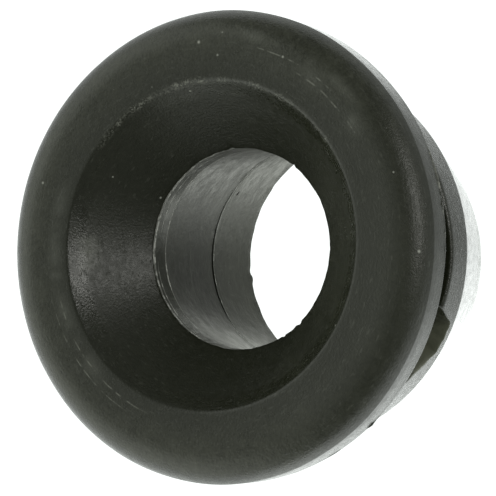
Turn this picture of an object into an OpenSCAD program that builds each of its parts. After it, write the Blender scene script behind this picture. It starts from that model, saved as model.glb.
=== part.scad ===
// Push-in rubber grommet, moulded in one piece.
// A thick flange with a countersunk face, a groove that holds the edge of a panel, and a tapering
// head with a bore right through. The origin is the centre of the rear face and +Z is the bore's
// axis, towards the flange. The flange face is up.

/* [Flange] */
// Diameter of the flange's side wall
flange_d = 29.8; // [28:0.1:34]
// Height of the flange's rim above its back face
rim_h = 3.3; // [2.8:0.1:5]
// Radius of the rounding round the front of the rim
rim_round = 1.95; // [0.5:0.05:2.4]
// How far the flat face drops from the rim to the crest of the countersink
face_drop = 0.25; // [0:0.05:0.6]
// How far the moulding flash stands out from the flange's back edge
flash_w = 0.15; // [0.05:0.05:0.3]
// Thickness of the moulding flash
flash_t = 0.15; // [0.1:0.05:0.3]

/* [Countersink] */
// Diameter of the crest, where the flat face turns down into the countersink
crest_d = 20.7; // [18:0.1:22]
// Included angle of the countersink in degrees
countersink_angle = 85; // [80:1:95]
// Radius that eases the crest
crest_round = 0.3; // [0.1:0.05:0.5]

/* [Bore] */
// Diameter of the straight throat at the foot of the countersink
throat_d = 12.8; // [11:0.1:14]
// Length of the straight throat
throat_h = 1.6; // [1:0.1:3]
// Radius that eases the mouth of the throat
mouth_round = 0.25; // [0.1:0.05:0.5]
// Diameter at which the front stretch of the bore ends, on the joint of the two core pins
core_d = 14.9; // [14.2:0.1:15.5]
// Height of the core pins' joint above the rear face
core_h = 6.9; // [5:0.1:9]
// Step in radius at the core pins' joint
core_step = 0.15; // [0.05:0.05:0.3]
// Diameter of the bore at the rear face
bore_rear_d = 16.9; // [16:0.1:17.6]

/* [Neck] */
// Diameter of the neck at the bottom of the panel groove
neck_d = 20; // [19:0.1:22]
// Width of the panel groove
groove_w = 6.3; // [4:0.1:8]
// Radius of the fillets at the bottom of the panel groove
groove_fillet = 0.6; // [0.2:0.05:1]

/* [Head] */
// Largest diameter of the head, round its straight band
head_d = 25; // [24:0.1:27]
// Height of the head's straight band
band_h = 2.7; // [2:0.1:4]
// Radius that eases the front edge of the band
band_round = 0.3; // [0.1:0.05:0.6]
// Height of the tapering nose, from the rear face to the band
nose_h = 9; // [7:0.1:12]
// Diameter of the nose at the rear face
nose_d = 19.5; // [18.8:0.1:21]
// Radius that eases the nose's edge at the rear face
nose_round = 0.35; // [0.1:0.05:0.5]

/* [Nick] */
// Width of the nick in the band's front edge
nick_w = 5.4; // [3.5:0.1:8]
// Width of the nick at its floor
nick_floor_w = 2.2; // [1:0.1:3]
// How far the middle of the floor lies off the middle of the nick
nick_lean = 0.5; // [0:0.05:0.7]
// Length of the nick, along the axis
nick_h = 2.1; // [0.5:0.1:2.4]
// How deep the nick goes in from the side of the band
nick_depth = 1.6; // [0.5:0.1:1.8]
// Direction of the middle of the nick, in degrees from +X
nick_angle = 247.5; // [0:0.5:359]

/* [Hidden] */
$fn = 96;

past = 1;

// A rounding's arc is this much larger than the one that would just touch the two faces, so that it
// crosses them and leaves no sliver of a face behind.
arc_past = 0.0005;

flange_r = flange_d / 2;
crest_r = crest_d / 2;
throat_r = throat_d / 2;
core_r = core_d / 2;
bore_rear_r = bore_rear_d / 2;
neck_r = neck_d / 2;
head_r = head_d / 2;
nose_r = nose_d / 2;

band_top = nose_h + band_h;
flange_back = band_top + groove_w;
rim_top = flange_back + rim_h;
crest_z = rim_top - face_drop;
mouth_z = crest_z - (crest_r - throat_r) / tan(countersink_angle / 2);
throat_foot = mouth_z - throat_h;

// The section's corners as [radius, height, rounding], anticlockwise from the rear face's inner
// edge: up the outside, across the face, and down the bore.
SECTION = [
    [bore_rear_r, 0, 0],
    [nose_r, 0, nose_round],
    [head_r, nose_h, 0],
    [head_r, band_top, band_round],
    [neck_r, band_top, groove_fillet],
    [neck_r, flange_back, groove_fillet],
    [flange_r, flange_back, 0],
    [flange_r, rim_top, rim_round],
    [crest_r, crest_z, crest_round],
    [throat_r, mouth_z, mouth_round],
    [throat_r, throat_foot, 0],
    [core_r, core_h, 0],
    [core_r + core_step, core_h, 0],
];

function point(i) = let (c = SECTION[(i + len(SECTION)) % len(SECTION)]) [c[0], c[1]];
function unit(v) = v / norm(v);

// Positive where the section turns left, at an outer corner, and negative at an inner one
function turn(i) = let (a = point(i) - point(i - 1), b = point(i + 1) - point(i)) a[0] * b[1] - a[1] * b[0];

// The piece between a corner's point and the arc that rounds it, a quarter larger than it need be
module corner_piece(i) {
    r = SECTION[i][2];
    back = unit(point(i - 1) - point(i));
    ahead = unit(point(i + 1) - point(i));
    half = acos(back * ahead) / 2;
    centre = point(i) + unit(back + ahead) * r / sin(half);
    kite = [point(i), point(i) + back * r / tan(half), centre, point(i) + ahead * r / tan(half)];
    difference() {
        polygon([for (p = kite) centre + (p - centre) * 1.25]);
        translate(centre) circle(r + arc_past);
    }
}

module section() {
    rounded = [for (i = [0 : len(SECTION) - 1]) if (SECTION[i][2] > 0) i];
    difference() {
        union() {
            polygon([for (c = SECTION) [c[0], c[1]]]);
            for (i = rounded) if (turn(i) < 0) corner_piece(i);
        }
        for (i = rounded) if (turn(i) > 0) corner_piece(i);
    }
}

// Film of rubber squeezed out where the two halves of the mould meet, at the flange's back edge
module flash() {
    translate([flange_r - past, flange_back]) square([past + flash_w, flash_t]);
}

// Place where the front edge of the head's band is torn away, with sloping sides
module nick() {
    rotate([0, 0, nick_angle])
        translate([head_r - nick_depth, 0, band_top])
            rotate([90, 0, 90])
                linear_extrude(nick_depth + past)
                    polygon([
                        [-nick_w / 2, past],
                        [-nick_w / 2, 0],
                        [nick_lean - nick_floor_w / 2, -nick_h],
                        [nick_lean + nick_floor_w / 2, -nick_h],
                        [nick_w / 2, 0],
                        [nick_w / 2, past],
                    ]);
}

module grommet() {
    color([0.13, 0.14, 0.12])
        difference() {
            rotate_extrude() union() {
                section();
                flash();
            }
            nick();
        }
}

grommet();
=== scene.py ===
import math

import bpy
import numpy as np
from mathutils import Matrix, Vector, noise


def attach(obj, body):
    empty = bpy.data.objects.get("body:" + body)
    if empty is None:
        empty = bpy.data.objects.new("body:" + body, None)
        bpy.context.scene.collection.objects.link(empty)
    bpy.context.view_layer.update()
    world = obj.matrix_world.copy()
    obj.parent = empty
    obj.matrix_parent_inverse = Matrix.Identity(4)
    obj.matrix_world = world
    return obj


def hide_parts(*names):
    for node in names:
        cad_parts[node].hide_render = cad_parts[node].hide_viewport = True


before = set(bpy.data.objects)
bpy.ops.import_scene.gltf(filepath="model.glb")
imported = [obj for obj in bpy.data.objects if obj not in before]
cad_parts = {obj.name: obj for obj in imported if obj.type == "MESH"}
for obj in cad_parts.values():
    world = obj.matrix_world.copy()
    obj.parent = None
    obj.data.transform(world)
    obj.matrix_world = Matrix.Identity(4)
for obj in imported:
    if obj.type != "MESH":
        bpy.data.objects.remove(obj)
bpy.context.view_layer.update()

# The grommet
# One moulding in soft black rubber, pushed through a hole in a panel until the hole's edge sits round its
# neck. The mould parts at the flange's back, where flash is left, and two core pins that meet inside form the
# bore. It is dulled by age and handling, and the front edge of the head's band is torn in one place.
MM = 0.001

# Radii, then heights above the rear face, in millimetres
BORE_END, NOSE_END, HEAD, NECK = 8.45, 9.75, 12.5, 10.0
FIN_TIP, FLANGE_SIDE, RIM, CREST, THROAT = 15.05, 14.9, 14.27, 10.35, 6.4
FRONT_PIN, GROOVE, REAR_PIN = 7.47, 7.55, 7.45
NOSE_TOP, BAND_TOP, FLANGE_BACK, FIN_FRONT, FIN_ROOT = 9.0, 11.7, 18.0, 18.12, 18.15
SIDE_TOP, RIM_TOP, CREST_TOP, MOUTH, THROAT_FOOT = 19.7, 21.3, 21.05, 16.74, 15.14
FRONT_PIN_END, GROOVE_FLOOR, JOINT = 7.12, 6.98, 6.9

# Corners of the section, up the outside, across the face and down the bore. Each has its radius, height and
# rounding in millimetres, its name, then the name of the stretch that follows and the step between its rings.
SECTION = [
    (BORE_END, 0.0, 0.12, "rear_edge", "rear_face", 0.45),
    (NOSE_END, 0.0, 0.35, "nose_edge", "nose", 0.75),
    (HEAD, NOSE_TOP, 0.25, "widest_edge", "band", 0.24),
    (HEAD, BAND_TOP, 0.3, "band_edge", "shoulder", 0.2),
    (NECK, BAND_TOP, 0.6, "neck_foot", "neck", 1.0),
    (NECK, FLANGE_BACK, 0.6, "neck_top", "flange_back", 0.7),
    (FIN_TIP, FLANGE_BACK, 0.04, "fin_edge", "fin_edge", 0.05),
    (FIN_TIP, FIN_FRONT, 0.04, "fin_edge", "fin_front", 0.07),
    (FLANGE_SIDE, FIN_ROOT, 0.02, "fin_root", "side", 0.3),
    (FLANGE_SIDE, SIDE_TOP, 0.1, "side_edge", "rim", 0.2),
    (RIM, RIM_TOP, 2.2, "rim", "land", 0.28),
    (CREST, CREST_TOP, 0.4, "crest", "dish", 0.3),
    (THROAT, MOUTH, 0.25, "mouth", "throat", 0.3),
    (THROAT, THROAT_FOOT, 0.15, "throat_foot", "front_bore", 0.42),
    (FRONT_PIN, FRONT_PIN_END, 0.05, "joint", "joint", 0.05),
    (GROOVE, GROOVE_FLOOR, 0.04, "groove", "groove", 0.05),
    (REAR_PIN, JOINT, 0.05, "lip", "rear_bore", 0.5),
]
ARC_STEP = math.radians(11)
AROUND = 440


def rings_of(section):
    """The rounded section as rings: the radius and height of each, and its corner's or stretch's name."""
    arcs = []
    for i, (radius, height, rounding, *_) in enumerate(section):
        here = Vector((radius, height))
        back = (Vector(section[i - 1][:2]) - here).normalized()
        ahead = (Vector(section[(i + 1) % len(section)][:2]) - here).normalized()
        half = back.angle(ahead) / 2
        centre = here + (back + ahead).normalized() * rounding / math.sin(half)
        start = here + back * rounding / math.tan(half) - centre
        sweep = math.copysign(math.pi - 2 * half, ahead.x * back.y - ahead.y * back.x)
        count = max(2, math.ceil(abs(sweep) / ARC_STEP))
        arcs.append([centre + Matrix.Rotation(sweep * k / count, 2) @ start for k in range(count + 1)])
    rings = []
    for i, (_, _, _, corner, stretch, step) in enumerate(section):
        rings += [(*point, corner) for point in arcs[i]]
        start, end = arcs[i][-1], arcs[(i + 1) % len(section)][0]
        count = max(1, round((end - start).length / step))
        rings += [(*start.lerp(end, k / count), stretch) for k in range(1, count)]
    return rings


rings = rings_of(SECTION)
ring_radius, ring_height = np.array([ring[:2] for ring in rings]).T
ring_place = np.array([ring[2] for ring in rings])
turns = np.arange(AROUND) / AROUND
degrees, around = turns * 360, turns * 2 * math.pi


def on(*places):
    """1 on the rings of the named corners and stretches, 0 elsewhere, as a column."""
    return np.isin(ring_place, places).astype(float)[:, None]


def near(angle, half_width):
    """A smooth hump round the axis, 1 at the angle and 0 beyond its half width, in degrees."""
    off = (degrees - angle + 180) % 360 - 180
    return np.clip(1 - (off / half_width) ** 2, 0, 1) ** 2


def humps(places):
    """The sum of some humps round the axis, each with its angle and half width in degrees and its size."""
    return sum(size * near(angle, half_width) for angle, half_width, size in places)


SEEDS_APART = 7.3


def waves(at_radius, sizes):
    """Raggedness round the axis at a radius: a sum of noises, each with its size, the width of its waves in
    millimetres, and its seed."""
    total = np.zeros(AROUND)
    for size, width, seed in sizes:
        scale = at_radius / width
        offset = seed * SEEDS_APART
        total += [size * noise.noise((math.cos(a) * scale, math.sin(a) * scale, offset)) for a in around]
    return total


radius = np.repeat(ring_radius[:, None], AROUND, 1)
height = np.repeat(ring_height[:, None], AROUND, 1)

# Flash: a thin film that varies in width, where any is left. Each stretch has its angle and half width in
# degrees, its mean width, and the size, width and seed of its waves. Elsewhere the edge is plain.
FIN_WIDTH = FIN_TIP - FLANGE_SIDE
FIN_RINGS_INSIDE, FIN_RINGS_TOP = FLANGE_SIDE + 1e-4, 18.16
FLASH_RADIUS = 15.0
FLASH = [(222, 22, 0.01, (0.07, 0.8, 11)), (288, 18, 0.03, (0.12, 0.4, 2))]
FLASH_TABS = [(229, 1.5, 0.07), (226, 2, -0.10)]
fin = humps(FLASH_TABS)
for angle, half_width, mean, wave in FLASH:
    fin += near(angle, half_width) * (mean + waves(FLASH_RADIUS, [wave]))
fin = np.clip(fin, 0, FIN_WIDTH)
fin_rings = np.flatnonzero((ring_radius > FIN_RINGS_INSIDE) & (ring_height < FIN_RINGS_TOP))
left_off = 1 - fin / FIN_WIDTH
plain_height = np.linspace(ring_height[fin_rings[0]], ring_height[fin_rings[-1]], len(fin_rings))
radius[fin_rings] += (FLANGE_SIDE - ring_radius[fin_rings])[:, None] * left_off
height[fin_rings] += (plain_height - ring_height[fin_rings])[:, None] * left_off

# Nick: the front edge of the band is pulled down, most between 245 and 255 degrees, and dips beside it.
NICK_ANGLES = [232, 233.5, 235.8, 237.3, 239.6, 242.5, 245.3, 248.7, 251.7, 253.3, 255.1, 256.3, 258.1, 259.4]
NICK_DROPS = [0, 0.35, 0.5, 0.55, 0.93, 1.35, 1.86, 1.98, 2.12, 2.1, 1.9, 1.2, 0.58, 0]
NICK_WAVES = [(0.10, 0.7, 3), (0.06, 0.3, 4)]
NICK_FLOOR = 10.9
BAND_DIP = [(273, 17, 0.28)]
drop = np.interp(degrees, NICK_ANGLES, NICK_DROPS) * (1 + waves(HEAD, NICK_WAVES)) + humps(BAND_DIP)
nick_share = np.clip((ring_height - NOSE_TOP) / (BAND_TOP - NOSE_TOP), 0, 1)[:, None]
nick_share = nick_share * on("band", "band_edge", "shoulder") * (ring_radius > NICK_FLOOR)[:, None]
height -= nick_share * drop

# The rim is a little fuller on one side, and the core pin for the rear of the bore stood off centre.
FULLER_RIM = [(95, 85, 0.14)]
OFF_CENTRE, OFF_TOWARDS = 0.28, 318
radius += on("side_edge", "rim") * humps(FULLER_RIM)
rear_share = np.clip(1 - ring_height / JOINT, 0, 1)[:, None] * on("rear_bore", "rear_edge")
radius += rear_share * OFF_CENTRE * np.cos(np.radians(degrees - OFF_TOWARDS))

# The mouth and the rear edge of the bore are trimmed by the core pins' ends, and a little ragged.
MOUTH_WAVES, REAR_WAVES = [(0.035, 0.7, 5), (0.02, 0.3, 6)], [(0.05, 1.2, 7), (0.03, 0.5, 8)]
MOUTH_TEARS = [(229, 2.5, 0.10), (217, 1.6, 0.08), (330, 2, 0.09), (12, 3, 0.06)]
REAR_TEARS = [(105, 3, -0.10), (101, 3, 0.06)]
REAR_RADIUS = 8.5
THROAT_SHARE = 0.4
radius += (on("mouth") + THROAT_SHARE * on("throat")) * (waves(THROAT, MOUTH_WAVES) + humps(MOUTH_TEARS))
radius += on("rear_edge") * (waves(REAR_RADIUS, REAR_WAVES) + humps(REAR_TEARS))

# The groove where the core pins met is deepest on one side, and is nearly filled on the other.
LIP_RADIUS, FILLED_RADIUS = 7.4, 7.46
LIP_WAVES = [(0.02, 0.9, 9), (0.015, 0.35, 10)]
DEEPEST = (95, 80)
LEAST_FILLED, FILLING = 0.25, 1.5
filled = LEAST_FILLED + (1 - LEAST_FILLED) * np.clip(FILLING * (1 - near(*DEEPEST)), 0, 1)
to_fill = (FILLED_RADIUS - ring_radius)[:, None]
radius += on("joint", "groove", "lip") * (waves(LIP_RADIUS, LIP_WAVES) * (1 - filled) + to_fill * filled)

# The skin: slow unevenness of a soft moulding, never proud of the true form.
SKIN_WAVE, SKIN_DEPTH = 5, 0.03
along_r = np.gradient(np.append(radius[:, :1], radius[:1, :1]))[:-1]
along_z = np.gradient(np.append(height[:, :1], height[:1, :1]))[:-1]
length = np.hypot(along_r, along_z)
out_r, out_z = (along_z / length)[:, None], (-along_r / length)[:, None]
out_r[fin_rings], out_z[fin_rings] = 1, 0
skin = np.array([
    [noise.noise((r * math.cos(a) / SKIN_WAVE, r * math.sin(a) / SKIN_WAVE, z / SKIN_WAVE)) for a in around]
    for r, z in zip(ring_radius, ring_height)
])
sunk = SKIN_DEPTH * (skin - 1) * (1 - on("rear_face", "rear_edge", "nose_edge"))
radius += out_r * sunk
height += out_z * sunk

points = np.stack([radius * np.cos(around), radius * np.sin(around), height], axis=2) * MM
ring_count = len(rings)
index = np.arange(ring_count * AROUND).reshape(ring_count, AROUND)
below, above = index, np.roll(index, -1, 0)
faces = np.stack([below, np.roll(below, -1, 1), np.roll(above, -1, 1), above], axis=2).reshape(-1, 4)

mesh = bpy.data.meshes.new("rubber_grommet")
mesh.from_pydata(points.reshape(-1, 3).tolist(), [], faces.tolist())
mesh.shade_smooth()
grommet = bpy.data.objects.new("rubber_grommet", mesh)
bpy.context.scene.collection.objects.link(grommet)


def mark(name, values):
    """Keeps a value from 0 to 1 at every point of the mesh, for the materials to read."""
    layer = mesh.attributes.new(name, "FLOAT", "POINT")
    layer.data.foreach_set("value", np.broadcast_to(values, radius.shape).astype(np.float32).ravel())


# How far along the section a point is, in units of 100 mm, and how torn it is, except at the end of the nick
ALONG_UNIT = 100
TORN_FROM, TORN_GAIN, NICK_END = 0.3, 2, (257.5, 4)
ring_along = np.concatenate([[0], np.cumsum(np.hypot(np.diff(ring_radius), np.diff(ring_height)))])
mark("along", ring_along[:, None] / ALONG_UNIT)
torn = np.clip((drop - TORN_FROM) * TORN_GAIN, 0, 1) * nick_share * on("shoulder", "band_edge")
mark("torn", torn * (1 - near(*NICK_END)))

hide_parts("grommet")
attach(grommet, "root")


def add(tree, kind, inputs=None, **settings):
    """A shader node with its settings. Each named input is given a value or joined to another output."""
    made = tree.nodes.new(kind)
    for name, value in settings.items():
        setattr(made, name, value)
    for name, value in (inputs or {}).items():
        if isinstance(value, bpy.types.NodeSocket):
            tree.links.new(value, made.inputs[name])
        else:
            made.inputs[name].default_value = value
    return made


def work(tree, operation, *values):
    """The result of a Math node on values or sockets."""
    return add(tree, "ShaderNodeMath", dict(enumerate(values)), operation=operation).outputs[0]


def combine(tree, operation, *values):
    """The result of one operation over any number of values, such as their product or their greatest."""
    total = values[0]
    for value in values[1:]:
        total = work(tree, operation, total, value)
    return total


def layered(tree, *layers):
    """The sum of some values, each multiplied by its weight."""
    return combine(tree, "ADD", *(work(tree, "MULTIPLY", value, weight) for value, weight in layers))


def spread(tree, value, low, high, to_low=0.0, to_high=1.0):
    """A smooth step: the value taken from low to high, to the other two."""
    inputs = {"Value": value, "From Min": low, "From Max": high, "To Min": to_low, "To Max": to_high}
    made = add(tree, "ShaderNodeMapRange", inputs, interpolation_type="SMOOTHSTEP")
    return made.outputs["Result"]


def tint(tree, colour, paint, masks, strength=1.0):
    """A colour with another laid over it, where all of some masks allow it, at a strength."""
    share = combine(tree, "MULTIPLY", *masks, strength)
    inputs = {"Factor": share, "A": colour, "B": paint}
    return add(tree, "ShaderNodeMix", inputs, data_type="RGBA").outputs["Result"]


def group(name, inputs, outputs):
    """An empty node group with its two ends. Each input has a name and a default, each output a kind."""
    tree = bpy.data.node_groups.new(name, "ShaderNodeTree")
    for socket, default in inputs.items():
        kind = "NodeSocketVector" if isinstance(default, tuple) else "NodeSocketFloat"
        tree.interface.new_socket(socket, in_out="INPUT", socket_type=kind).default_value = default
    for socket, kind in outputs.items():
        tree.interface.new_socket(socket, in_out="OUTPUT", socket_type=kind)
    return tree, tree.nodes.new("NodeGroupInput").outputs, tree.nodes.new("NodeGroupOutput")


def place(tree, grouped, **inputs):
    """A node group placed in a material with its own values, named as its inputs are, with _ for a space."""
    made = tree.nodes.new("ShaderNodeGroup")
    made.node_tree = grouped
    for name, value in inputs.items():
        socket = made.inputs[name.replace("_", " ")]
        if isinstance(value, bpy.types.NodeSocket):
            tree.links.new(value, socket)
        else:
            socket.default_value = value
    return made.outputs


# Round the axis: the radius and height in millimetres, the angle in degrees, and a vector for noise that runs
# round the axis in long streaks and changes quickly across them.
axis_group, given, result = group(
    "round_the_axis",
    {"Streak length": 4.0, "Streak width": 0.1},
    {"Radius": "NodeSocketFloat", "Angle": "NodeSocketFloat", "Height": "NodeSocketFloat",
     "Point": "NodeSocketVector", "Streaks": "NodeSocketVector"},
)
spot = add(axis_group, "ShaderNodeTexCoord").outputs["Object"]
spot = add(axis_group, "ShaderNodeVectorMath", {0: spot, "Scale": 1 / MM}, operation="SCALE").outputs[0]
split = add(axis_group, "ShaderNodeSeparateXYZ", {0: spot}).outputs
flat = add(axis_group, "ShaderNodeVectorMath", {0: spot, 1: (1, 1, 0)}, operation="MULTIPLY").outputs[0]
reach = add(axis_group, "ShaderNodeVectorMath", {0: flat}, operation="LENGTH").outputs["Value"]
angle = work(axis_group, "DEGREES", work(axis_group, "ARCTAN2", split["Y"], split["X"]))
along = add(axis_group, "ShaderNodeAttribute", attribute_name="along").outputs["Fac"]
long = work(axis_group, "DIVIDE", 10, given["Streak length"])
wide = work(axis_group, "DIVIDE", work(axis_group, "MULTIPLY", along, ALONG_UNIT), given["Streak width"])
streaks = add(axis_group, "ShaderNodeCombineXYZ", {
    "X": work(axis_group, "MULTIPLY", work(axis_group, "DIVIDE", split["X"], reach), long),
    "Y": work(axis_group, "MULTIPLY", work(axis_group, "DIVIDE", split["Y"], reach), long),
    "Z": wide,
}).outputs[0]
found = {"Radius": reach, "Angle": angle, "Height": split["Z"], "Point": spot, "Streaks": streaks}
for name, socket in found.items():
    axis_group.links.new(socket, result.inputs[name])

# Turned lines: fine rings from the lathe that made the mould, as a height and a mask of the deepest.
turned_group, given, result = group(
    "turned_lines",
    {"Streak length": 6.0, "Streak width": 0.12},
    {"Height": "NodeSocketFloat", "Mask": "NodeSocketFloat"},
)
axis = place(turned_group, axis_group,
             Streak_length=given["Streak length"], Streak_width=given["Streak width"])
ripple = add(turned_group, "ShaderNodeTexNoise", {
    "Vector": axis["Streaks"], "Scale": 1.0, "Detail": 4.0, "Roughness": 0.6,
}).outputs["Fac"]
turned_group.links.new(ripple, result.inputs["Height"])
turned_group.links.new(spread(turned_group, ripple, 0.58, 0.72), result.inputs["Mask"])

# Mottle: cloudy change over the surface, from wax that has bloomed and from handling.
mottle_group, given, result = group(
    "mottle", {"Size": 2.0, "Seed": 0.0}, {"Share": "NodeSocketFloat"}
)
axis = place(mottle_group, axis_group)
cloud = add(mottle_group, "ShaderNodeTexNoise", {
    "Vector": axis["Point"], "W": given["Seed"], "Scale": work(mottle_group, "DIVIDE", 1, given["Size"]),
    "Detail": 5.0, "Roughness": 0.62,
}, noise_dimensions="4D").outputs["Fac"]
mottle_group.links.new(spread(mottle_group, cloud, 0.3, 0.7), result.inputs["Share"])

# Dust: pale specks caught on the rubber, one in each of a few cells.
dust_group, given, result = group(
    "dust", {"Spacing": 1.6, "Size": 0.07, "Share of cells": 0.3, "Seed": 0.0}, {"Mask": "NodeSocketFloat"}
)
axis = place(dust_group, axis_group)
cells = add(dust_group, "ShaderNodeTexVoronoi", {
    "Vector": axis["Point"], "W": given["Seed"], "Scale": work(dust_group, "DIVIDE", 1, given["Spacing"]),
}, voronoi_dimensions="4D").outputs
apart = work(dust_group, "MULTIPLY", cells["Distance"], given["Spacing"])
drawn = add(dust_group, "ShaderNodeSeparateColor", {0: cells["Color"]}).outputs
chosen = work(dust_group, "LESS_THAN", drawn["Red"], given["Share of cells"])
own_size = work(dust_group, "MULTIPLY", given["Size"], work(dust_group, "ADD", drawn["Green"], 0.4))
speck = work(dust_group, "SUBTRACT", 1, spread(dust_group, apart, 0, own_size))
dust_group.links.new(work(dust_group, "MULTIPLY", speck, chosen), result.inputs["Mask"])

# Ring line: one thin line round the axis, broken up, over a span of angles about its middle, used for wear
# lines and for painted highlights.
# Position is the radius or the height in millimetres, and the line lies where it is equal to Ring.
ring_line_group, given, result = group(
    "thin_ring_line",
    {"Position": 0.0, "Ring": 11.0, "Width": 0.06, "Middle": 0.0, "Half span": 30.0, "Dash": 0.5,
     "Whole": 0.0, "Seed": 0.0},
    {"Mask": "NodeSocketFloat"},
)
axis = place(ring_line_group, axis_group, Streak_length=given["Dash"], Streak_width=10.0)
drift = add(ring_line_group, "ShaderNodeTexNoise", {
    "Vector": axis["Streaks"], "W": given["Seed"], "Scale": 0.3,
}, noise_dimensions="4D").outputs["Fac"]
wander = work(ring_line_group, "MULTIPLY", work(ring_line_group, "SUBTRACT", drift, 0.5), 0.15)
off = work(ring_line_group, "SUBTRACT", work(ring_line_group, "ADD", given["Position"], wander), given["Ring"])
off = work(ring_line_group, "ABSOLUTE", off)
line = work(ring_line_group, "SUBTRACT", 1, spread(ring_line_group, off, 0, given["Width"]))
turn = work(ring_line_group, "SUBTRACT", axis["Angle"], given["Middle"])
turn = work(ring_line_group, "ABSOLUTE", work(ring_line_group, "WRAP", turn, 180, -180))
turn = work(ring_line_group, "DIVIDE", turn, given["Half span"])
span = work(ring_line_group, "SUBTRACT", 1, spread(ring_line_group, turn, 0.6, 1))
broken = add(ring_line_group, "ShaderNodeTexNoise", {
    "Vector": axis["Streaks"], "W": given["Seed"], "Scale": 1.0, "Detail": 3.0,
}, noise_dimensions="4D").outputs["Fac"]
broken = work(ring_line_group, "MAXIMUM", spread(ring_line_group, broken, 0.42, 0.62), given["Whole"])
ring_line_group.links.new(combine(ring_line_group, "MULTIPLY", line, span, broken), result.inputs["Mask"])

# Lone speck: one mote of dust at a place given in millimetres.
speck_group, given, result = group(
    "lone_speck", {"Place": (0.0, 0.0, 0.0), "Size": 0.1}, {"Mask": "NodeSocketFloat"}
)
axis = place(speck_group, axis_group)
apart = add(speck_group, "ShaderNodeVectorMath", {0: axis["Point"], 1: given["Place"]}, operation="DISTANCE")
mask = work(speck_group, "SUBTRACT", 1, spread(speck_group, apart.outputs["Value"], 0, given["Size"]))
speck_group.links.new(mask, result.inputs["Mask"])

# Grain: the fine matt texture of moulded rubber, as a height.
grain_group, given, result = group("grain", {"Size": 0.12}, {"Height": "NodeSocketFloat"})
axis = place(grain_group, axis_group)
fine = add(grain_group, "ShaderNodeTexNoise", {
    "Vector": axis["Point"], "Scale": work(grain_group, "DIVIDE", 1, given["Size"]),
    "Detail": 3.0, "Roughness": 0.55,
}).outputs["Fac"]
grain_group.links.new(fine, result.inputs["Height"])


def rubber(name):
    """A new rubber material: its node tree and its shader, which is plain until dressed."""
    material = bpy.data.materials.new(name)
    material.use_nodes = True
    mesh.materials.append(material)
    return material.node_tree, material.node_tree.nodes["Principled BSDF"]


def dress(tree, shader, colour, roughness, relief, depth):
    """Joins a material's colour, roughness and relief to its shader. The depth is in millimetres."""
    bump = add(tree, "ShaderNodeBump", {"Height": relief, "Strength": 1.0, "Distance": depth * MM})
    tree.links.new(colour, shader.inputs["Base Color"])
    tree.links.new(roughness, shader.inputs["Roughness"])
    tree.links.new(bump.outputs["Normal"], shader.inputs["Normal"])


def scribe(tree, position, lines, seeds, **settings):
    """The mask of some ring lines, wear lines and painted highlights alike, each with its ring, its middle
    and half span in degrees, and its width. The seeds are the first ring's and the step to the next."""
    first, step = seeds
    masks = []
    for i, (ring, middle, half_span, width) in enumerate(lines):
        masks.append(place(tree, ring_line_group, Position=position, Ring=ring, Width=width, Middle=middle,
                           Half_span=half_span, Seed=first + i * step, **settings)["Mask"])
    return combine(tree, "MAXIMUM", *masks)


def lone_specks(tree, places):
    """The mask of some lone specks, each with its distance from the axis, angle, height and size."""
    masks = []
    for distance, angle, high, size in places:
        turn = math.radians(angle)
        spot = (distance * math.cos(turn), distance * math.sin(turn), high)
        masks.append(place(tree, speck_group, Place=spot, Size=size)["Mask"])
    return combine(tree, "MAXIMUM", *masks)


# The greys for rubbing and scuffing lay on wear and also on painted sheen and glints; the edge white lays on
# painted glints only.
OLIVE_BLACK = (0.0088, 0.0104, 0.0040, 1)
FADED_BLACK = (0.0220, 0.0243, 0.0145, 1)
WORN_BLACK = (0.0550, 0.0580, 0.0420, 1)
TORN_GREY = (0.1200, 0.1260, 0.0900, 1)
RUBBED_AND_SHEEN_GREY = (0.1300, 0.1350, 0.1150, 1)
SCUFF_AND_GLINT_GREY = (0.2600, 0.2650, 0.2300, 1)
PALE_DUST = (0.5000, 0.5100, 0.4600, 1)
EDGE_GLINT_WHITE = (0.7800, 0.7900, 0.7500, 1)

# Wear lines, and painted sheen and glints laid on as lines and patches: the ring's radius or height, its
# middle and half span in degrees, and its width
LAND_LINES = [(11.25, 138, 30, 0.06), (11.8, 137, 24, 0.05), (12.15, 322, 16, 0.07), (12.6, 335, 20, 0.06)]
CREST_LINES = [(10.32, 0, 62, 0.30), (10.28, 14, 52, 0.22)]
SHEEN_SMEARS = [(12.4, 326, 20, 0.9), (13.3, 340, 30, 0.6), (11.2, 110, 40, 0.8)]
GLINT_PATCHES = [(9.35, 98, 8, 0.7)]
BACK_EDGE_GLINTS = [(18.10, 289, 13, 0.16)]
# Motes on the face: radius, angle, height and size
MOTES = [
    (12.72, 9.1, 21.2, 0.15), (11.84, 2.9, 21.14, 0.11), (12.87, 77.2, 21.2, 0.13),
    (9.04, 65.8, 19.6, 0.09), (6.66, 65.8, 17.0, 0.11), (10.21, 247.3, 20.9, 0.12),
    (9.87, 15.5, 20.5, 0.10), (12.61, 341.3, 21.2, 0.12), (13.45, 294.2, 21.1, 0.10),
    (13.27, 1.8, 21.15, 0.09), (10.85, 28.3, 21.08, 0.08), (14.3, 274.0, 20.6, 0.16),
]

# Where one look gives way to another: from one radius, height or angle to the next
# The angle round which the face's colour is painted darker, as shade, and how far from it the paler tones
# return
SHADED_SIDE = 265
SHADED_TO_PALER = (20, 75)
DISH_TO_LAND, LAND_TO_RIM = (9.9, 10.5), (10.5, 13.4)
DULL_TO_POLISHED, POLISHED_TO_LAND = (9.2, 9.7), (9.9, 10.6)
BACK_TO_FACE, INSIDE_TO_SIDE = (18.8, 19.4), (14.7, 14.8)
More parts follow.
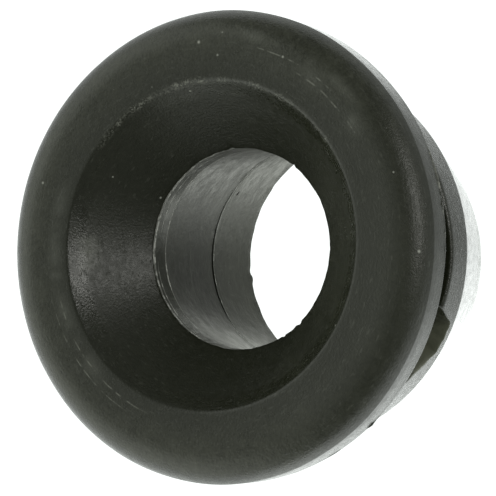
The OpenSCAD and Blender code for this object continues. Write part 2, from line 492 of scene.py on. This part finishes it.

# Moulded rubber: the face, the rim and the whole outside. One side of the face has painted shade: its faded
# mottle is held back there.
tree, shader = rubber("moulded_rubber")
axis = place(tree, axis_group)
face = spread(tree, axis["Height"], *BACK_TO_FACE)
# Painted shade: the faded tones below thin out towards one side of the face, so that side is darker.
from_shaded_side = work(tree, "WRAP", work(tree, "SUBTRACT", axis["Angle"], SHADED_SIDE), 180, -180)
from_shaded_side = work(tree, "ABSOLUTE", from_shaded_side)
dish_share = spread(tree, from_shaded_side, *SHADED_TO_PALER, 0.9, 0.25)
rim_share = spread(tree, from_shaded_side, *SHADED_TO_PALER, 0.4, 1)
land_share = spread(tree, axis["Radius"], *LAND_TO_RIM, 0.15, rim_share)
paler_off_shaded_side = spread(tree, axis["Radius"], *DISH_TO_LAND, dish_share, land_share)

cloudy = place(tree, mottle_group, Size=3.0)["Share"]
speckled = place(tree, mottle_group, Size=0.22, Seed=7.0)["Share"]
fingered = spread(tree, place(tree, mottle_group, Size=0.7, Seed=8.0)["Share"], 0.4, 1)
colour = tint(tree, OLIVE_BLACK, FADED_BLACK, [cloudy, paler_off_shaded_side])
colour = tint(tree, colour, WORN_BLACK, [speckled, paler_off_shaded_side], strength=0.5)
colour = tint(tree, colour, WORN_BLACK, [fingered, paler_off_shaded_side], strength=0.3)

grains = spread(tree, place(tree, mottle_group, Size=0.13, Seed=5.0)["Share"], 0.45, 0.8)
land_lines = work(tree, "MULTIPLY", scribe(tree, axis["Radius"], LAND_LINES, (0, 3.1)), 0.7)
crest_lines = scribe(tree, axis["Radius"], CREST_LINES, (20, 3.1), Dash=0.9, Whole=0.2)
face_lines = combine(tree, "MAXIMUM", land_lines, work(tree, "MULTIPLY", crest_lines, grains))
# Painted highlight: a broken pale line along the back edge of the flange, where the flash catches the lamp.
back_edge_glint = scribe(tree, axis["Height"], BACK_EDGE_GLINTS, (40, 1), Dash=0.25)
back_edge_glint = work(tree, "MULTIPLY", back_edge_glint, spread(tree, axis["Radius"], *INSIDE_TO_SIDE))
lines_and_glints = combine(tree, "MAXIMUM", work(tree, "MULTIPLY", face_lines, face), back_edge_glint)
# Painted sheen: paler bands laid along rings of the land, where the rim's rounding catches light.
sheen_smears = scribe(tree, axis["Radius"], SHEEN_SMEARS, (60, 1), Dash=2.5)
# Painted highlight: a pale patch on the countersink's wall, where the lamp's glint lies.
painted_glint = scribe(tree, axis["Radius"], GLINT_PATCHES, (71, 1), Dash=0.4, Whole=0.5)
chafed = place(tree, turned_group, Streak_length=0.6, Streak_width=0.17)["Mask"]
# Wear lines and the painted glint on the flange's back edge in scuffed grey, then the painted sheen on the
# land and the painted glint in the countersink.
colour = tint(tree, colour, SCUFF_AND_GLINT_GREY, [lines_and_glints], strength=0.8)
colour = tint(tree, colour, RUBBED_AND_SHEEN_GREY, [sheen_smears, face], strength=0.34)
colour = tint(tree, colour, RUBBED_AND_SHEEN_GREY, [painted_glint], strength=0.9)
colour = tint(tree, colour, RUBBED_AND_SHEEN_GREY, [chafed], strength=0.22)

torn = add(tree, "ShaderNodeAttribute", attribute_name="torn").outputs["Fac"]
specks = combine(
    tree, "MAXIMUM",
    place(tree, dust_group, Spacing=1.5, Size=0.07, Share_of_cells=0.16)["Mask"],
    place(tree, dust_group, Spacing=0.7, Size=0.035, Share_of_cells=0.20, Seed=9.0)["Mask"],
    lone_specks(tree, MOTES),
)
colour = tint(tree, colour, TORN_GREY, [torn])
colour = tint(tree, colour, PALE_DUST, [specks], strength=0.8)

satin = spread(tree, place(tree, mottle_group, Size=0.5, Seed=3.0)["Share"], 0, 1, 0.21, 0.31)
dull_dish = spread(tree, axis["Radius"], *DULL_TO_POLISHED, 1, 0)
clean_land = spread(tree, from_shaded_side, *SHADED_TO_PALER, 1, 0)
clean_land = combine(tree, "MULTIPLY", clean_land, spread(tree, axis["Radius"], *POLISHED_TO_LAND), face)
marred = combine(tree, "MAXIMUM", specks, torn, lines_and_glints)
roughness = layered(tree, (satin, 1), (dull_dish, 0.12), (clean_land, 0.12), (marred, 0.35))

lines = place(tree, turned_group, Streak_length=3.0, Streak_width=0.16)["Height"]
dashes = place(tree, turned_group, Streak_length=0.8, Streak_width=0.22)
grain = place(tree, grain_group, Size=0.14)["Height"]
relief = layered(tree, (lines, 0.3), (dashes["Height"], 0.6), (dashes["Mask"], -0.5), (grain, 1.3))
dress(tree, shader, colour, roughness, relief, depth=0.018)

# Cored rubber: the throat and the bore, which is duller than the outside, and paler behind the joint. Its
# lines are painted highlights along the mouth, the throat and the joint, by height, and its pits are given as
# the motes are.
BORE_GLINT_LINES = [
    (16.50, 90, 120, 0.14), (16.64, 60, 60, 0.08), (15.08, 75, 90, 0.12), (15.9, 50, 40, 0.07),
    (16.1, 130, 30, 0.07), (6.78, 95, 70, 0.08), (6.95, 30, 34, 0.08), (6.95, 160, 36, 0.08),
]
PITS = [(7.60, 60, 5.95, 0.20), (7.83, 109, 4.4, 0.16), (7.1, 40, 9.0, 0.10)]
FRONT_TO_REAR = (6.9, 6.7)
tree, shader = rubber("cored_rubber")
axis = place(tree, axis_group)
cloudy = place(tree, mottle_group, Size=2.0, Seed=1.0)["Share"]
lines = place(tree, turned_group, Streak_length=2.6, Streak_width=0.36)
brushed = place(tree, turned_group, Streak_length=0.5, Streak_width=1.1)["Mask"]
# Painted highlights: pale lines laid along the bore's edges, where they catch light.
lines_and_glints = scribe(tree, axis["Height"], BORE_GLINT_LINES, (50, 1), Dash=0.8, Whole=0.3)
bloomed = spread(tree, axis["Height"], *FRONT_TO_REAR)
specks = place(tree, dust_group, Spacing=1.4, Size=0.06, Share_of_cells=0.15, Seed=2.0)["Mask"]
colour = tint(tree, OLIVE_BLACK, FADED_BLACK, [cloudy])
colour = tint(tree, colour, RUBBED_AND_SHEEN_GREY, [lines["Mask"]], strength=0.5)
colour = tint(tree, colour, RUBBED_AND_SHEEN_GREY, [brushed], strength=0.35)
colour = tint(tree, colour, EDGE_GLINT_WHITE, [lines_and_glints])
colour = tint(tree, colour, RUBBED_AND_SHEEN_GREY, [bloomed], strength=0.22)
colour = tint(tree, colour, PALE_DUST, [specks], strength=0.7)

pits = lone_specks(tree, PITS)
matt = spread(tree, place(tree, mottle_group, Size=1.0, Seed=4.0)["Share"], 0, 1, 0.28, 0.40)
marred = combine(tree, "MAXIMUM", specks, lines_and_glints, pits)
roughness = layered(tree, (matt, 1), (marred, 0.4))

grain = place(tree, grain_group, Size=0.16)["Height"]
blotches = place(tree, grain_group, Size=0.7)["Height"]
relief = layered(tree, (lines["Height"], 0.45), (grain, 0.35), (blotches, 1.5), (pits, -6))
dress(tree, shader, colour, roughness, relief, depth=0.026)

in_bore = on("mouth", "throat", "throat_foot", "front_bore", "joint", "groove", "lip", "rear_bore")
mesh.polygons.foreach_set("material_index", np.repeat(in_bore.astype(np.int32), AROUND))

# The floor
# A plain white sheet that is lit from below, more in some directions, so that no shadow falls on it. It
# always looks white. It is clear from underneath and under the bore, so that the studio shines up through it.
FLOOR_SIZE = 2.0
FLOOR_LOOKS = 1.2
FLOOR_GLOW = 0.8
SHEET_WHITE = (0.96, 1, 0.98, 1)
UNDER_BORE = 9.5 * MM
# Azimuth, elevation and half width in degrees of each brighter or darker stretch, then its strength
FLOOR_STRETCHES = [(165, 0, 110, 0.55), (210, 0, 50, 0.88), (292, 0, 30, -0.22), (258, 0, 24, 0.15)]
NEAR_STRETCHES = [(20, 0, 58, 1.45)]
NEAR = 28 * MM
NOSE_GLOW = 1.5
NOSE_REACH = 15 * MM
NOSE_FULL = 0.85 * NOSE_REACH

floor_mesh = bpy.data.meshes.new("floor")
corner = FLOOR_SIZE / 2
floor_corners = [(-corner, -corner, 0), (corner, -corner, 0), (corner, corner, 0), (-corner, corner, 0)]
floor_mesh.from_pydata(floor_corners, [], [(0, 1, 2, 3)])
floor = bpy.data.objects.new("floor", floor_mesh)
bpy.context.scene.collection.objects.link(floor)


def glows(tree, direction, base, lobes):
    """The sum of a base and of soft lobes, each with an azimuth, elevation, half width and strength."""
    total = base
    for azimuth, elevation, half_width, strength in lobes:
        turn, rise = math.radians(azimuth), math.radians(elevation)
        middle = (math.cos(turn) * math.cos(rise), math.sin(turn) * math.cos(rise), math.sin(rise))
        facing = add(tree, "ShaderNodeVectorMath", {0: direction, 1: middle}, operation="DOT_PRODUCT")
        edge, full = math.cos(math.radians(half_width)), math.cos(math.radians(half_width / 4))
        total = work(tree, "ADD", total, spread(tree, facing.outputs["Value"], edge, full, 0, strength))
    return total


material = bpy.data.materials.new("light_sheet")
material.use_nodes = True
tree = material.node_tree
tree.nodes.remove(tree.nodes["Principled BSDF"])
spot = add(tree, "ShaderNodeTexCoord").outputs["Object"]
away = add(tree, "ShaderNodeVectorMath", {0: spot}, operation="LENGTH").outputs["Value"]
outward = add(tree, "ShaderNodeVectorMath", {0: spot}, operation="NORMALIZE").outputs[0]
glow = glows(tree, outward, FLOOR_GLOW, FLOOR_STRETCHES)
close = glows(tree, outward, 0.0, NEAR_STRETCHES)
close = work(tree, "MULTIPLY", close, work(tree, "LESS_THAN", away, NEAR))
under_nose = spread(tree, away, NOSE_REACH, NOSE_FULL, 0, NOSE_GLOW)
glow = combine(tree, "ADD", glow, close, under_nose)
ray = add(tree, "ShaderNodeLightPath").outputs
seen = ray["Is Camera Ray"]
strength = add(tree, "ShaderNodeMix", {"Factor": seen, "A": glow, "B": FLOOR_LOOKS}).outputs["Result"]
sheet = add(tree, "ShaderNodeEmission", {"Color": SHEET_WHITE, "Strength": strength}).outputs[0]
clear = add(tree, "ShaderNodeBsdfTransparent").outputs[0]
below_bore = work(tree, "LESS_THAN", away, UNDER_BORE)
below_bore = work(tree, "MULTIPLY", below_bore, work(tree, "SUBTRACT", 1, seen))
side = add(tree, "ShaderNodeNewGeometry").outputs["Backfacing"]
open_here = work(tree, "MAXIMUM", below_bore, side)
surface = add(tree, "ShaderNodeMixShader", {0: open_here, 1: sheet, 2: clear}).outputs[0]
tree.links.new(surface, tree.nodes["Material Output"].inputs["Surface"])
floor_mesh.materials.append(material)

# The light
# A soft white studio: a dim tent, broad pale panels behind and to the left, a lamp in front and to the right,
# and reflectors under the sheet that shine up into the bore.
TENT = 0.28
TENT_COLOUR = (0.96, 1, 0.92, 1)
# Azimuth, elevation and half width in degrees, then strength
PANELS = [
    (135, 12, 60, 1.15),
    (65, 28, 36, 0.85),
    (75, 50, 26, 0.15),
    (90, 84, 24, 0.42),
    (160, -74, 14, 1.3),
    (240, -40, 30, 2.9),
    (60, -50, 30, 1.4),
    (0, -40, 20, 3.0),
]
world = bpy.data.worlds.new("studio")
bpy.context.scene.world = world
world.use_nodes = True
tree = world.node_tree
direction = add(tree, "ShaderNodeTexCoord").outputs["Generated"]
strength = glows(tree, direction, TENT, PANELS)
seen = add(tree, "ShaderNodeLightPath").outputs["Is Camera Ray"]
strength = add(tree, "ShaderNodeMix", {"Factor": seen, "A": strength, "B": FLOOR_LOOKS}).outputs["Result"]
tree.nodes["Background"].inputs["Color"].default_value = TENT_COLOUR
tree.links.new(strength, tree.nodes["Background"].inputs["Strength"])

WINDOW_ANGLE, WINDOW_ELEVATION, WINDOW_AWAY = 293, 29, 0.4
WINDOW_WIDTH, WINDOW_HEIGHT = 0.19, 0.09
WINDOW_GLOW = 6.9
WINDOW_COLOUR = (1, 1, 0.95)
window_data = bpy.data.lights.new("window", "AREA")
window_data.shape = "RECTANGLE"
window_data.size, window_data.size_y = WINDOW_WIDTH, WINDOW_HEIGHT
window_data.energy = WINDOW_GLOW * math.pi * WINDOW_WIDTH * WINDOW_HEIGHT
window_data.color = WINDOW_COLOUR
window = bpy.data.objects.new("window", window_data)
bpy.context.scene.collection.objects.link(window)
turn, rise = math.radians(WINDOW_ANGLE), math.radians(WINDOW_ELEVATION)
direction = Vector((math.cos(turn) * math.cos(rise), math.sin(turn) * math.cos(rise), math.sin(rise)))
window.location = direction * WINDOW_AWAY
window.rotation_euler = direction.to_track_quat("Z", "Y").to_euler()
window.visible_camera = False

# The camera
# It looks down on the face, 29 degrees off the bore's axis, and is turned so that +X is up in the picture.
# Its place is found from the middle of the flange's back, as the photograph shows it.
TILT, ROLL = math.radians(28.82), math.radians(6.24)
FLANGE_MIDDLE = Vector((0, 0, FLANGE_BACK)) * MM
FLANGE_RADIUS = FLASH_RADIUS * MM
AWAY = 9.0
SENSOR_WIDTH = 36
NEAREST, FARTHEST = 0.01, 10
PICTURE = 496
PIXELS_TO_A_RADIUS = 236.76
MIDDLE_X, MIDDLE_Y = -0.0784, -0.0021
right = Vector((math.sin(ROLL), -math.cos(TILT) * math.cos(ROLL), -math.sin(TILT) * math.cos(ROLL)))
up = Vector((math.cos(ROLL), math.cos(TILT) * math.sin(ROLL), math.sin(TILT) * math.sin(ROLL)))
back = Vector((0, -math.sin(TILT), math.cos(TILT)))
camera_data = bpy.data.cameras.new("camera")
camera_data.sensor_width = SENSOR_WIDTH
camera_data.lens = PIXELS_TO_A_RADIUS * AWAY / PICTURE * SENSOR_WIDTH
camera_data.clip_start, camera_data.clip_end = NEAREST, FARTHEST
camera = bpy.data.objects.new("camera", camera_data)
bpy.context.scene.collection.objects.link(camera)
rotation = Matrix((right, up, back)).transposed()
shift = -right * MIDDLE_X + up * MIDDLE_Y + back * AWAY
camera.matrix_world = Matrix.Translation(FLANGE_MIDDLE + shift * FLANGE_RADIUS) @ rotation.to_4x4()
bpy.context.scene.camera = camera
bpy.context.scene.view_settings.view_transform = "Standard"
